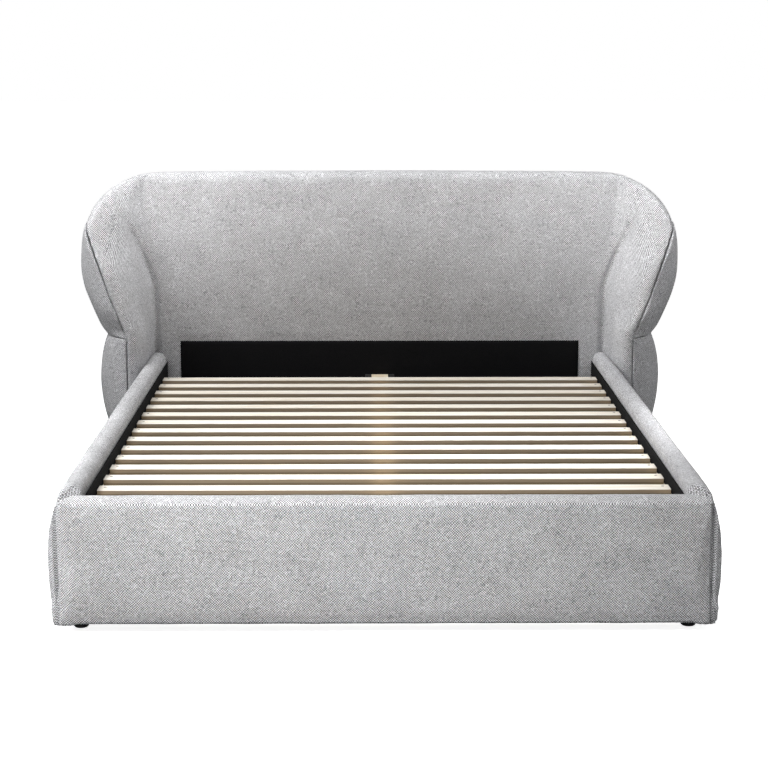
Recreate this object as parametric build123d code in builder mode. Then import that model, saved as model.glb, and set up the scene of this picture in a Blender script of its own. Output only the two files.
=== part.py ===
from build123d import *

import os
from collections import namedtuple
from math import cos, radians, sin, sqrt, tan

# Upholstered wing-back bed on a slatted base, in millimetres.
# The origin is on the floor under the middle of the bed, +Y runs from the foot to the headboard.

# Mattress well
mattress_width = 1530
mattress_length = 2030
mattress_gap = 10

# Padded rails at the sides and the foot
floor_gap = 24
rail_height = 320
lining_thickness = 1.5
rail_board_thickness = 20
rail_foam = 41.5
rail_bulge = 18
rail_top_foam = 26
rail_top_shoulder = 15
rail_hem = 9
hem_fullness = 0.5
side_roll_rise = 31
side_roll_shoulder = 30
side_roll_bevel = 60
lining_drop = 4
corner_taper = 45
side_corner_taper = 18

# Slats, ledges and the middle beam
slat_pitch = 125
slat_width = 56
slat_thickness = 18
slat_drop = 36
slat_end_gap = 5
slat_chamfer = 1.5
first_slat = 110
last_slat_room = 150
ledge_width = 32
ledge_height = 34
ledge_overhang = 4
screw_radius = 2
screw_head_radius = 4
screw_head_angle = 82
screw_length = 34
screw_edge = 20
screw_inset = 17
screw_clearance = 0.1
beam_width = 60
beam_height = 80
hanger_plate = 3
hanger_depth = 40
hanger_margin = 20
hanger_gap = 0.5
beam_end_gap = 1

# Legs under the beam with their levelling feet
leg_count = 2
leg_size = 44
leg_floor_gap = 36
leg_chamfer = 2
leveller_up = 12
leveller_pad_radius = 20
leveller_pad_height = 10
leveller_stem_radius = 4
leveller_stem_length = 62
leveller_hex = 13
leveller_hex_height = 7
leveller_clearance = 0.08
leveller_socket_depth = 6
leveller_spare = 4

# Corner fittings
bracket_plate = 3
bracket_leg = 46
bracket_height = 110
bracket_bottom = 70
bolt_radius = 4
bolt_head_radius = 8
bolt_head_height = 5
bolt_clearance = 0.25
bolt_spacing = 64
glide_radius = 21.5
glide_taper = 2
glide_edge = 3

# Headboard, measured forwards from its padded face
headboard_height = 1028
headboard_foam = 35
headboard_crown = 10
front_board_thickness = 5
frame_depth = 45
back_cover_thickness = 5
top_roll = 40
top_foam = 58
frame_rail_height = 70
plank_lap = 21
panel_margin = 14
panel_rise = 70
plank_slant_share = 0.4
plank_corner_share = 0.6

# Wings, whose seam runs up the front edge and flares outwards above the waist
waist_height = 465
wing_reach = 290
wing_flare_angle = 20.8
wing_board_thickness = 15
wing_edge_foam = 55
rail_clearance = 2
upper_board_rise = 330
upper_board_setback = 70
crease_standoff = 51
crease_drift = 44
crease_radius = 60
core_margin = 26
seam_standoff = 46
edge_roll = 42
top_edge = 6
back_trim = 10
waist_padding = 88
lower_padding = 114
lower_hem = 73
upper_padding = 174

# Shares of the wing's depth that shape its level sections
wing_crown = 0.04
crease_share = 0.25
crease_lean = 0.15
roll_share = 0.16
roll_setback = 0.10
widest_share = 0.42
seam_margin = 0.07
back_bevel_depth = 0.8
back_bevel_width = 0.7
bevel_start_in = 0.4
bevel_start_back = 0.45
board_shoulder = 0.75
hem_share = 0.3

# Levels
rail_top = floor_gap + rail_height
side_top = rail_top + side_roll_rise
rail_board_top = rail_top - rail_top_foam
lining_top = rail_top - lining_drop
slat_top = rail_top - slat_drop
slat_bottom = slat_top - slat_thickness
frame_top = headboard_height - top_foam
panel_top = rail_top + panel_rise

# Places across and along the bed
inner_half = mattress_width / 2 + mattress_gap
inner_length = mattress_length + 2 * mattress_gap
rail_thickness = lining_thickness + rail_board_thickness + rail_foam
board_inner = inner_half + lining_thickness
board_outer = board_inner + rail_board_thickness
rail_outer = inner_half + rail_thickness
headboard_depth = headboard_foam + front_board_thickness + frame_depth + back_cover_thickness
total_length = rail_bulge + rail_thickness + inner_length + headboard_depth
foot_inner = -total_length / 2 + rail_bulge + rail_thickness
foot_outer = foot_inner - rail_thickness
face = foot_inner + inner_length
front_board_y = face + headboard_foam
frame_y = front_board_y + front_board_thickness
back_cover_y = frame_y + frame_depth
back = back_cover_y + back_cover_thickness
flare = tan(radians(wing_flare_angle))

# Half widths of the headboard and its wings
wing_crease = inner_half + crease_standoff
core_half_width = wing_crease - crease_radius - core_margin
panel_half_width = core_half_width - panel_margin
seam_half_width = rail_outer + seam_standoff

os.makedirs("parts", exist_ok=True)

on_base = (Align.CENTER, Align.CENTER, Align.MIN)


def save(piece, name):
    """Label a finished piece and write it."""
    piece.label = name
    export_step(piece, f"parts/{name}.step")


def save_pair(piece, name):
    """Write a right-hand piece and its mirrored left-hand twin."""
    save(piece, f"{name}_right")
    save(mirror(piece, about=Plane.YZ), f"{name}_left")


def block(low, high):
    """A box between two corners, added to the part in hand."""
    size = [b - a for a, b in zip(low, high)]
    middle = [(a + b) / 2 for a, b in zip(low, high)]
    with Locations(tuple(middle)):
        Box(*size)


# Padded rails: the sides carry a roll that comes down to the foot's section at the front corners
side_plane = Plane((inner_half, face, 0), x_dir=(1, 0, 0), z_dir=(0, -1, 0))
foot_plane = Plane((rail_outer + rail_bulge, foot_inner, 0), x_dir=(0, -1, 0), z_dir=(-1, 0, 0))


def rail_section(plane, top, shoulder_drop):
    """Section of a padded rail: u runs outwards from the lining, v upwards."""
    board_u = lining_thickness + rail_board_thickness
    shoulder = (rail_thickness, top - shoulder_drop)
    hem = (rail_thickness + rail_bulge * hem_fullness, floor_gap + rail_hem)
    with BuildSketch(plane) as section:
        with BuildLine():
            Polyline(
                (rail_thickness - rail_hem, floor_gap),
                (board_u, floor_gap),
                (board_u, rail_board_top),
                (lining_thickness, rail_board_top),
                (lining_thickness, lining_top),
            )
            ThreePointArc((lining_thickness, lining_top), (rail_thickness / 2, top), shoulder)
            middle = (rail_thickness + rail_bulge, (shoulder[1] + hem[1]) / 2)
            ThreePointArc(shoulder, middle, hem)
            Line(hem, (rail_thickness - rail_hem, floor_gap))
        make_face()
    return section.sketch


corner = (rail_outer, foot_outer)
mitre = Plane((rail_outer, foot_outer, 0), x_dir=(0, 0, 1), z_dir=(1, 1, 0))
side_taper = Plane((*corner, 0), x_dir=(0, 0, 1), z_dir=(-side_corner_taper, rail_bulge, 0))
foot_taper = Plane((*corner, 0), x_dir=(0, 0, 1), z_dir=(-rail_bulge, corner_taper, 0))
bevel_run = tan(radians(side_roll_bevel))
bevel_foot = (*corner, (lining_top + rail_top - rail_top_shoulder) / 2)
roll_bevel = Plane(bevel_foot, x_dir=(1, -1, 0), z_dir=(-bevel_run, -bevel_run, sqrt(2)))

with BuildPart() as side_rail_pad:
    section = rail_section(side_plane, side_top, side_roll_shoulder)
    extrude(section, amount=inner_length + rail_thickness + rail_bulge)
    split(bisect_by=mitre, keep=Keep.TOP)
    split(bisect_by=side_taper, keep=Keep.TOP)
    split(bisect_by=roll_bevel, keep=Keep.BOTTOM)

with BuildPart() as foot_half_pad:
    extrude(rail_section(foot_plane, rail_top, rail_top_shoulder), amount=rail_outer + rail_bulge)
    split(bisect_by=mitre, keep=Keep.BOTTOM)
    split(bisect_by=foot_taper, keep=Keep.TOP)

with BuildPart() as foot_rail_pad:
    add(foot_half_pad.part)
    mirror(about=Plane.YZ)

# Bolt places: head fittings fix the rails to the headboard, corner fittings fix them to the foot
bolt_heights = [bracket_bottom + bracket_height / 2 + s * bolt_spacing / 2 for s in (-1, 1)]
bolt_x = inner_half - bracket_leg / 2
head_bolt_y = face - bracket_leg / 2
foot_bolt_y = foot_inner + bracket_leg / 2
bolt_hole = bolt_radius + bolt_clearance


def cross_bolts(radius, low_x, high_x, mode):
    """Cylinders across the bed at the rail bolts."""
    for y in (head_bolt_y, foot_bolt_y):
        for z in bolt_heights:
            with Locations(Plane((low_x, y, z), x_dir=(0, 1, 0), z_dir=(1, 0, 0))):
                Cylinder(radius, high_x - low_x, align=on_base, mode=mode)


def end_bolts(radius, low_y, high_y, mode):
    """Cylinders along the bed at the end bolts of both sides."""
    for x in (-bolt_x, bolt_x):
        for z in bolt_heights:
            with Locations(Plane((x, low_y, z), x_dir=(1, 0, 0), z_dir=(0, 1, 0))):
                Cylinder(radius, high_y - low_y, align=on_base, mode=mode)


with BuildPart() as side_rail_board:
    block((board_inner, foot_inner - lining_thickness - rail_board_thickness, floor_gap),
          (board_outer, face, rail_board_top))
    cross_bolts(bolt_hole, board_inner, board_outer, Mode.SUBTRACT)

with BuildPart() as side_rail_lining:
    block((inner_half, foot_inner, floor_gap), (board_inner, face, lining_top))
    cross_bolts(bolt_hole, inner_half, board_inner, Mode.SUBTRACT)

foot_board_inner = foot_inner - lining_thickness
foot_board_outer = foot_board_inner - rail_board_thickness

with BuildPart() as foot_rail_board:
    block((-board_inner, foot_board_outer, floor_gap), (board_inner, foot_board_inner, rail_board_top))
    end_bolts(bolt_hole, foot_board_outer, foot_board_inner, Mode.SUBTRACT)

with BuildPart() as foot_rail_lining:
    block((-board_inner, foot_board_inner, floor_gap), (board_inner, foot_inner, lining_top))
    end_bolts(bolt_hole, foot_board_inner, foot_inner, Mode.SUBTRACT)

# Slat places, ledges, slats and their screws
slat_count = int((inner_length - first_slat - last_slat_room) / slat_pitch) + 1
slat_ys = [foot_inner + first_slat + i * slat_pitch for i in range(slat_count)]
slat_half = inner_half - slat_end_gap
screw_xs = [s * (slat_half - screw_inset) for s in (-1, 1)]
screw_dy = slat_width / 2 - screw_edge
screw_bottom = slat_top - screw_length
screw_head_height = (screw_head_radius - screw_radius) / tan(radians(screw_head_angle / 2))

with BuildPart() as slat_ledge:
    ledge_reach = slat_width / 2 + ledge_overhang
    block((inner_half - ledge_width, slat_ys[0] - ledge_reach, slat_bottom - ledge_height),
          (inner_half, slat_ys[-1] + ledge_reach, slat_bottom))
    with Locations(*[(screw_xs[1], y + screw_dy, screw_bottom) for y in slat_ys]):
        Cylinder(screw_radius + screw_clearance, screw_length,
                 align=on_base, mode=Mode.SUBTRACT)

with BuildPart() as slat_screw:
    with BuildSketch(Plane.XZ):
        with BuildLine():
            Polyline(
                (0, screw_bottom),
                (screw_radius, screw_bottom),
                (screw_radius, slat_top - screw_head_height),
                (screw_head_radius, slat_top),
                (0, slat_top),
                close=True,
            )
        make_face()
    revolve(axis=Axis.Z)

with BuildPart() as slat_screws:
    with Locations(*[(x, y + screw_dy, 0) for y in slat_ys for x in screw_xs]):
        add(slat_screw.part)

slats = []
for slat_y in slat_ys:
    with BuildPart() as slat:
        block((-slat_half, slat_y - slat_width / 2, slat_bottom),
              (slat_half, slat_y + slat_width / 2, slat_top))
        chamfer(slat.edges().filter_by(Axis.X).group_by(Axis.Z)[-1], slat_chamfer)
        with Locations(*[(x, slat_y + screw_dy, slat_top) for x in screw_xs]):
            CounterSinkHole(screw_radius + screw_clearance, screw_head_radius + screw_clearance,
                            counter_sink_angle=screw_head_angle)
    slats.append(slat.part)

# Middle beam in its two hangers
hanger_inner = beam_width / 2 + hanger_gap
hanger_outer = hanger_inner + hanger_plate
beam_bottom = slat_bottom - beam_height
beam_ends = (foot_inner + hanger_plate + beam_end_gap, face - hanger_plate - beam_end_gap)
leg_ys = [foot_inner + inner_length * (i + 1) / (leg_count + 1) for i in range(leg_count)]

with BuildPart() as centre_beam:
    block((-beam_width / 2, beam_ends[0], beam_bottom), (beam_width / 2, beam_ends[1], slat_bottom))

with BuildPart() as foot_hanger:
    block((-hanger_outer - hanger_margin, foot_inner, beam_bottom - hanger_plate),
          (hanger_outer + hanger_margin, foot_inner + hanger_plate, slat_bottom))
    block((-hanger_outer, foot_inner, beam_bottom - hanger_plate),
          (hanger_outer, foot_inner + hanger_depth, slat_bottom - hanger_margin))
    with Locations((0, foot_inner + hanger_plate, beam_bottom)):
        Box(2 * hanger_inner, hanger_depth, beam_height,
            align=(Align.CENTER, Align.MIN, Align.MIN), mode=Mode.SUBTRACT)

with BuildPart() as beam_hangers:
    add(foot_hanger.part)
    mirror(about=Plane.XZ.offset(-(foot_inner + face) / 2))

# Legs under the beam, each with a threaded levelling foot
stem_low = leveller_pad_height - leveller_socket_depth
hex_low = leveller_pad_height + leveller_clearance
leg_top = beam_bottom
centre_legs = []
leveller_pads = []
leveller_stems = []
for leg_y in leg_ys:
    with BuildPart() as leg:
        block((-leg_size / 2, leg_y - leg_size / 2, leg_floor_gap),
              (leg_size / 2, leg_y + leg_size / 2, leg_top))
        chamfer(leg.edges().filter_by(Axis.Z), leg_chamfer)
        with Locations((0, leg_y, leg_floor_gap)):
            Cylinder(leveller_stem_radius + leveller_clearance,
                     stem_low + leveller_stem_length + leveller_up - leg_floor_gap + leveller_spare,
                     align=on_base, mode=Mode.SUBTRACT)
    centre_legs.append(leg.part)

    with BuildPart() as pad:
        with BuildSketch(Plane.XZ.offset(-leg_y)):
            with BuildLine():
                Polyline(
                    (0, 0),
                    (leveller_pad_radius, 0),
                    (leveller_pad_radius, leveller_pad_height / 3),
                    (leveller_pad_radius / 2, leveller_pad_height),
                    (leveller_stem_radius + leveller_clearance, leveller_pad_height),
                    (leveller_stem_radius + leveller_clearance, stem_low - leveller_clearance),
                    (0, stem_low - leveller_clearance),
                    close=True,
                )
            make_face()
        revolve(axis=Axis((0, leg_y, 0), (0, 0, 1)))
    leveller_pads.append(pad.part)

    with BuildPart() as stem:
        with Locations((0, leg_y, stem_low)):
            Cylinder(leveller_stem_radius, leveller_stem_length, align=on_base)
        with BuildSketch(Plane.XY.offset(hex_low)):
            with Locations((0, leg_y)):
                RegularPolygon(leveller_hex / 2, 6, major_radius=False)
        extrude(amount=leveller_hex_height)
    leveller_stems.append(stem.part)

# Headboard frame behind the padding
plank_outer = seam_half_width - wing_board_thickness
plank_inner = core_half_width - plank_lap
plank_step = frame_top - waist_height
plank_corner = (plank_outer - plank_inner) * plank_corner_share

with BuildPart() as headboard_side_plank:
    with BuildSketch(Plane.XZ.offset(-frame_y)):
        with BuildLine():
            slant_foot = seam_half_width - wing_board_thickness / cos(radians(wing_flare_angle))
            slant_top = waist_height + plank_step * plank_slant_share
            slant_x = slant_foot + (slant_top - waist_height) * flare
            Polyline(
                (plank_outer, floor_gap),
                (plank_outer, waist_height),
                (slant_foot, waist_height),
                (slant_x, slant_top),
                (slant_x, frame_top - plank_corner),
                (slant_x - plank_corner, frame_top),
                (plank_inner, frame_top),
                (plank_inner, floor_gap),
                close=True,
            )
        make_face()
    extrude(amount=-frame_depth)
    end_bolts(bolt_hole, frame_y, back_cover_y, Mode.SUBTRACT)

frame_rails = {
    "headboard_bottom_rail": floor_gap,
    "headboard_middle_rail": waist_height - frame_rail_height,
    "headboard_top_rail": frame_top - frame_rail_height,
}

with BuildPart() as headboard_front_board:
    block((-plank_outer, front_board_y, floor_gap), (plank_outer, frame_y, frame_top))
    end_bolts(bolt_hole, front_board_y, frame_y, Mode.SUBTRACT)

with BuildPart() as headboard_back_cover:
    block((-plank_outer, back_cover_y, floor_gap), (plank_outer, back, frame_top))

# Padded middle of the headboard, with a lined field low on its face
crown_top = headboard_height - top_roll
crown_middle = (waist_height + crown_top) / 2


def face_line(z):
    """How far forward the padded face stands at a height."""
    if z <= waist_height:
        return 0
    if z <= crown_top:
        half = (crown_top - waist_height) / 2
        return headboard_crown * (1 - ((z - crown_middle) / half) ** 2)
    return sqrt(max(top_roll**2 - (z - crown_top) ** 2, 0)) - top_roll


with BuildPart() as headboard_cushion:
    with BuildSketch(Plane.YZ.offset(-core_half_width)):
        with BuildLine():
            Line((face, floor_gap), (face, waist_height))
            ThreePointArc((face, waist_height), (face - headboard_crown, crown_middle), (face, crown_top))
            RadiusArc((face, crown_top), (face + top_roll, headboard_height), top_roll)
            Line((face + top_roll, headboard_height), (back - top_roll, headboard_height))
            RadiusArc((back - top_roll, headboard_height), (back, crown_top), top_roll)
            Polyline(
                (back, crown_top),
                (back, frame_top),
                (front_board_y, frame_top),
                (front_board_y, floor_gap),
                (face, floor_gap),
            )
        make_face()
    extrude(amount=2 * core_half_width)
    with Locations((0, face, floor_gap)):
        Box(2 * panel_half_width, lining_thickness, panel_top - floor_gap,
            align=(Align.CENTER, Align.MIN, Align.MIN), mode=Mode.SUBTRACT)

with BuildPart() as headboard_lining:
    block((-panel_half_width, face, floor_gap), (panel_half_width, face + lining_thickness, panel_top))

# Wings: level sections, parted at the seam into a front cushion and two side pads
Station = namedtuple("Station", "height crease seam reach outer core")
WingPoints = namedtuple(
    "WingPoints", "start crease_in crease_out inner roll seam widest round_start round_end"
)
upper_rise = headboard_height - top_edge - waist_height
lower_rise = waist_height - floor_gap


def seam_at(height):
    """Half width of the wing seam at a height."""
    return seam_half_width + max(height - waist_height, 0) * flare


def lower_station(rise, padding):
    """A level section of the lower wing at a share of its rise."""
    return Station(floor_gap + rise * lower_rise, wing_crease, seam_half_width, wing_reach,
                   seam_half_width + padding, seam_half_width)


def upper_station(rise, drift, reach_share, padding):
    """A level section of the upper wing at a share of its rise."""
    height = waist_height + rise * upper_rise
    outer = seam_half_width + padding
    reach = max(wing_reach * reach_share, face_line(height) + top_edge)
    seam = min(seam_at(height), outer - top_edge - reach * seam_margin)
    core = seam_half_width if rise < 0.5 else core_half_width
    return Station(height, wing_crease + crease_drift * drift, seam, reach, outer, core)


lower_stations = [
    lower_station(0.00, lower_padding - lower_hem),
    lower_station(0.28, lower_padding - lower_hem * hem_share),
    lower_station(0.62, lower_padding),
    lower_station(1.00, waist_padding),
]
upper_stations = [
    upper_station(0.00, 0.00, 1.00, waist_padding),
    upper_station(0.12, 0.00, 1.00, upper_padding * 0.72),
    upper_station(0.28, 0.09, 0.985, upper_padding * 0.915),
    upper_station(0.47, 0.36, 0.93, upper_padding),
    upper_station(0.66, 0.77, 0.79, upper_padding * 0.937),
    upper_station(0.80, 1.00, 0.57, upper_padding * 0.776),
    upper_station(0.90, 0.95, 0.32, upper_padding * 0.506),
    upper_station(0.965, 0.59, 0.10, upper_padding * 0.161),
    upper_station(1.00, 0.23, 0.00, upper_padding * -0.149),
]


def wing_points(station):
    """Corners of a level section, from the headboard core round the front edge to the back."""
    front = face_line(station.height)
    depth = station.reach - front
    turn = min(depth * crease_share, crease_radius)
    face_y = face - front
    crease_out = Vector(station.crease + turn * crease_lean, face_y - turn)
    roll_in = min(depth * roll_share, edge_roll)
    roll = Vector(station.seam - roll_in, face - station.reach + depth * roll_setback)
    inner_run = roll - crease_out
    bevel = min(headboard_depth * back_bevel_depth, (station.outer - station.core) * back_bevel_width)
    inner = (crease_out + roll) / 2 + Vector(inner_run.Y, -inner_run.X) * wing_crown
    return WingPoints(
        start=Vector(core_half_width, face_y),
        crease_in=Vector(station.crease - turn, face_y),
        crease_out=crease_out,
        inner=inner,
        roll=roll,
        seam=Vector(station.seam, face - station.reach),
        widest=Vector(station.outer, face_y - depth * widest_share),
        round_start=Vector(station.outer - bevel * bevel_start_in, back - bevel * bevel_start_back),
        round_end=Vector(station.outer - bevel, back),
    )


def front_edges(points):
    """The padded face, the soft crease, the wing's inner face and its rolled edge."""
    Line(points.start, points.crease_in)
    TangentArc(points.crease_in, points.crease_out, tangent=(1, 0))
    inner = ThreePointArc(points.crease_out, points.inner, points.roll)
    TangentArc(points.roll, points.seam, tangent=inner % 1)


def side_edges(points):
    """The bulging side from the seam round the back corner."""
    outer = ThreePointArc(points.seam, points.widest, points.round_start)
    TangentArc(points.round_start, points.round_end, tangent=outer % 1)


def whole_section(station):
    """Level section of the whole wing."""
    points = wing_points(station)
    with BuildSketch(Plane.XY.offset(station.height)) as section:
        with BuildLine():
            front_edges(points)
            side_edges(points)
            rear_y = back + back_trim
            Polyline(
                points.round_end,
                (points.round_end.X, rear_y),
                (core_half_width, rear_y),
                points.start,
            )
        make_face()
    return section.sketch


def front_section(station):
    """Level section of the wing inside its seam."""
    points = wing_points(station)
    with BuildSketch(Plane.XY.offset(station.height)) as section:
        with BuildLine():
            front_edges(points)
            Polyline(points.seam, (points.seam.X, back), (core_half_width, back), points.start)
        make_face()
    return section.sketch


def side_section(station):
    """Level section of the wing outside its seam."""
    points = wing_points(station)
    with BuildSketch(Plane.XY.offset(station.height)) as section:
        with BuildLine():
            side_edges(points)
            Polyline(points.round_end, (points.seam.X, back), points.seam)
        make_face()
    return section.sketch


seam_normal = (cos(radians(wing_flare_angle)), 0, -sin(radians(wing_flare_angle)))
seam_plane = Plane((seam_half_width, face, waist_height), x_dir=(0, 1, 0), z_dir=seam_normal)

with BuildPart() as wing_lower_pad:
    loft([side_section(level) for level in lower_stations])

with BuildPart() as upper_wing:
    loft([whole_section(level) for level in upper_stations])
    with BuildSketch(Plane.YZ):
        with BuildLine():
            RadiusArc((back - top_roll, headboard_height), (back, crown_top), top_roll)
            Polyline(
                (back, crown_top),
                (back, waist_height),
                (back + top_roll, waist_height),
                (back + top_roll, headboard_height + top_roll),
                (back - top_roll, headboard_height + top_roll),
                (back - top_roll, headboard_height),
            )
        make_face()
    extrude(amount=2 * core_half_width, mode=Mode.SUBTRACT)

with BuildPart() as wing_upper_pad:
    add(upper_wing.part)
    split(bisect_by=seam_plane, keep=Keep.TOP)

# Plywood boards that carry the wings
board_front = face - wing_reach + wing_edge_foam

with BuildPart() as wing_lower_board:
    block((plank_outer, board_front, floor_gap), (seam_half_width, back, waist_height))

with BuildPart() as wing_upper_board:
    with BuildSketch(seam_plane):
        with BuildLine():
            setback = board_front + upper_board_setback
            Polyline(
                (board_front - face, 0),
                (back - face, 0),
                (back - face, upper_board_rise * board_shoulder),
                (frame_y - face, upper_board_rise),
                (setback - face + upper_board_setback, upper_board_rise),
                (setback - face, upper_board_rise * board_shoulder),
                close=True,
            )
        make_face()
    extrude(amount=-wing_board_thickness)


def rail_hollow():
    """Hollow in the wing that the side rail runs through."""
    shoulder = (rail_thickness + rail_clearance, side_top - side_roll_shoulder)
    hem = (rail_thickness + rail_bulge * hem_fullness + rail_clearance, floor_gap)
    middle = (rail_thickness + rail_bulge + rail_clearance, (shoulder[1] + floor_gap) / 2)
    inside = core_half_width - inner_half
    start = (lining_thickness - rail_clearance, lining_top)
    with BuildSketch(side_plane) as section:
        with BuildLine():
            Polyline(hem, (inside, floor_gap), (inside, lining_top), start)
            ThreePointArc(start, (rail_thickness / 2, side_top + rail_clearance), shoulder)
            ThreePointArc(shoulder, middle, hem)
        make_face()
    return section.sketch


with BuildPart() as wing_cushion:
    add(upper_wing.part)
    split(bisect_by=seam_plane, keep=Keep.BOTTOM)
    extrude(front_section(lower_stations[0]), amount=lower_rise)
    end_bolts(bolt_hole, face, back_cover_y, Mode.SUBTRACT)
    for core in (wing_lower_board, wing_upper_board, headboard_side_plank, headboard_front_board,
                 headboard_back_cover):
        add(core.part, mode=Mode.SUBTRACT)
    extrude(rail_hollow(), amount=wing_reach, mode=Mode.SUBTRACT)

# Fittings
with BuildPart() as head_bracket:
    block((inner_half - bracket_plate, face - bracket_leg, bracket_bottom),
          (inner_half, face, bracket_bottom + bracket_height))
    block((inner_half - bracket_leg, face - bracket_plate, bracket_bottom),
          (inner_half, face, bracket_bottom + bracket_height))
    cross_bolts(bolt_hole, inner_half - bracket_plate, inner_half, Mode.SUBTRACT)
    end_bolts(bolt_hole, face - bracket_plate, face, Mode.SUBTRACT)

with BuildPart() as foot_bracket:
    add(mirror(head_bracket.part, about=Plane.XZ.offset(-(foot_inner + face) / 2), mode=Mode.PRIVATE))

bolt_under = bracket_plate + bolt_head_height

with BuildPart() as cross_bolt_set:
    cross_bolts(bolt_radius, inner_half - bracket_plate, board_outer, Mode.ADD)
    cross_bolts(bolt_head_radius, inner_half - bolt_under, inner_half - bracket_plate, Mode.ADD)

with BuildPart() as frame_bolts:
    add(cross_bolt_set.part)
    mirror(about=Plane.YZ)
    end_bolts(bolt_radius, face - bracket_plate, back_cover_y, Mode.ADD)
    end_bolts(bolt_head_radius, face - bolt_under, face - bracket_plate, Mode.ADD)
    end_bolts(bolt_radius, foot_board_outer, foot_inner + bracket_plate, Mode.ADD)
    end_bolts(bolt_head_radius, foot_inner + bracket_plate, foot_inner + bolt_under, Mode.ADD)

# Glides under the four corners
glide_places = [
    (x, y, 0)
    for x in (-board_inner - glide_radius / 2, board_inner + glide_radius / 2)
    for y in (foot_board_inner - rail_board_thickness / 2, frame_y + frame_depth / 2)
]

with BuildPart() as glide:
    with BuildSketch(Plane.XZ):
        with BuildLine():
            Polyline(
                (0, 0),
                (glide_radius - glide_taper - glide_edge, 0),
                (glide_radius - glide_taper, glide_edge),
                (glide_radius, floor_gap),
                (0, floor_gap),
                close=True,
            )
        make_face()
    revolve(axis=Axis.Z)

with BuildPart() as glide_feet:
    with Locations(*glide_places):
        add(glide.part)

# Finished pieces
save_pair(side_rail_pad.part, "side_rail_pad")
save_pair(side_rail_board.part, "side_rail_board")
save_pair(side_rail_lining.part, "side_rail_lining")
save_pair(slat_ledge.part, "slat_ledge")
save(foot_rail_pad.part, "foot_rail_pad")
save(foot_rail_board.part, "foot_rail_board")
save(foot_rail_lining.part, "foot_rail_lining")
for number, piece in enumerate(slats, start=1):
    save(piece, f"slat_{number:02d}")
save(slat_screws.part, "slat_screws")
save(centre_beam.part, "centre_beam")
save(beam_hangers.part, "beam_hangers")
for number in range(leg_count):
    save(centre_legs[number], f"centre_leg_{number + 1}")
    save(leveller_pads[number], f"leveller_pad_{number + 1}")
    save(leveller_stems[number], f"leveller_stem_{number + 1}")
save_pair(headboard_side_plank.part, "headboard_side_plank")
for name, low in frame_rails.items():
    with BuildPart() as frame_rail:
        block((-plank_inner, frame_y, low), (plank_inner, back_cover_y, low + frame_rail_height))
    save(frame_rail.part, name)
save(headboard_front_board.part, "headboard_front_board")
save(headboard_back_cover.part, "headboard_back_cover")
save(headboard_cushion.part, "headboard_cushion")
save(headboard_lining.part, "headboard_lining")
save_pair(wing_lower_board.part, "wing_lower_board")
save_pair(wing_upper_board.part, "wing_upper_board")
save_pair(wing_cushion.part, "wing_cushion")
save_pair(wing_lower_pad.part, "wing_lower_pad")
save_pair(wing_upper_pad.part, "wing_upper_pad")
save_pair(head_bracket.part, "head_bracket")
save_pair(foot_bracket.part, "foot_bracket")
save(frame_bolts.part, "frame_bolts")
save(glide_feet.part, "glide_feet")
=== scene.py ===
"""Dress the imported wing-back bed: soft upholstery, linings, pine slats, fittings and a plain studio."""

from __future__ import annotations

import logging
import math
from dataclasses import dataclass, field
from enum import Enum
from functools import cache

import bmesh
import bpy
import numpy as np
from bpy.types import Material, Node, NodeSocket, NodeTree, Object
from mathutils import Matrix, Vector, noise
from mathutils.bvhtree import BVHTree
from mathutils.kdtree import KDTree


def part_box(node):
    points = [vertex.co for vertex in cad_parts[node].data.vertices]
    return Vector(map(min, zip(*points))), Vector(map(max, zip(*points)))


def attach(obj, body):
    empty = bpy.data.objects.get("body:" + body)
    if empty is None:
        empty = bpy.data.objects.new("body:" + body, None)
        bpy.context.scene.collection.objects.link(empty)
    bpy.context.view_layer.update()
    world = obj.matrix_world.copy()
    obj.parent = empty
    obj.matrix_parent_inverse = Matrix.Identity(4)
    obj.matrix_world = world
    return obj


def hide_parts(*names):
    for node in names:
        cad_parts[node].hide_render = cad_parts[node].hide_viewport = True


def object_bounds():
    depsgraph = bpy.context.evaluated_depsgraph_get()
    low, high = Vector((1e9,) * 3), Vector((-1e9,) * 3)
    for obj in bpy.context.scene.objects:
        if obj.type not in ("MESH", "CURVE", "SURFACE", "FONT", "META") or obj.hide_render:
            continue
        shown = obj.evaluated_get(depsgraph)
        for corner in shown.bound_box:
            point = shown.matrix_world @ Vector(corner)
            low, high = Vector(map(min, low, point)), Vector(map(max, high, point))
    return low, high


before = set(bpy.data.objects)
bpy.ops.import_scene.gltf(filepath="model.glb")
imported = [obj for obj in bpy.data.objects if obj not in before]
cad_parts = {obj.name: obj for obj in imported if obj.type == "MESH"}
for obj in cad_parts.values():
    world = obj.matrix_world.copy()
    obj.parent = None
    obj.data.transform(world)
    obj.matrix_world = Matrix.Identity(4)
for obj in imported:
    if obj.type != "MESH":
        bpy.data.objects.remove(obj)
CAD_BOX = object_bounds()

log = logging.getLogger("bed")
Colour = tuple[float, float, float]
Place = tuple[float, float, float]
Span = tuple[float, float]
Array = np.ndarray

MM = 0.001
BED = "bed"
SIDES = ("left", "right")


class Slot(Enum):
    """Material slots of the soft pieces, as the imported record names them."""

    FABRIC = "grey_fabric"
    LINING = "black_lining"


class Socket(Enum):
    """Kinds of node group sockets."""

    VECTOR = "NodeSocketVector"
    VALUE = "NodeSocketFloat"
    COLOUR = "NodeSocketColor"


COLOUR_MIX_INPUTS = (0, 6, 7)
COLOUR_MIX_OUTPUT = 2


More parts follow.
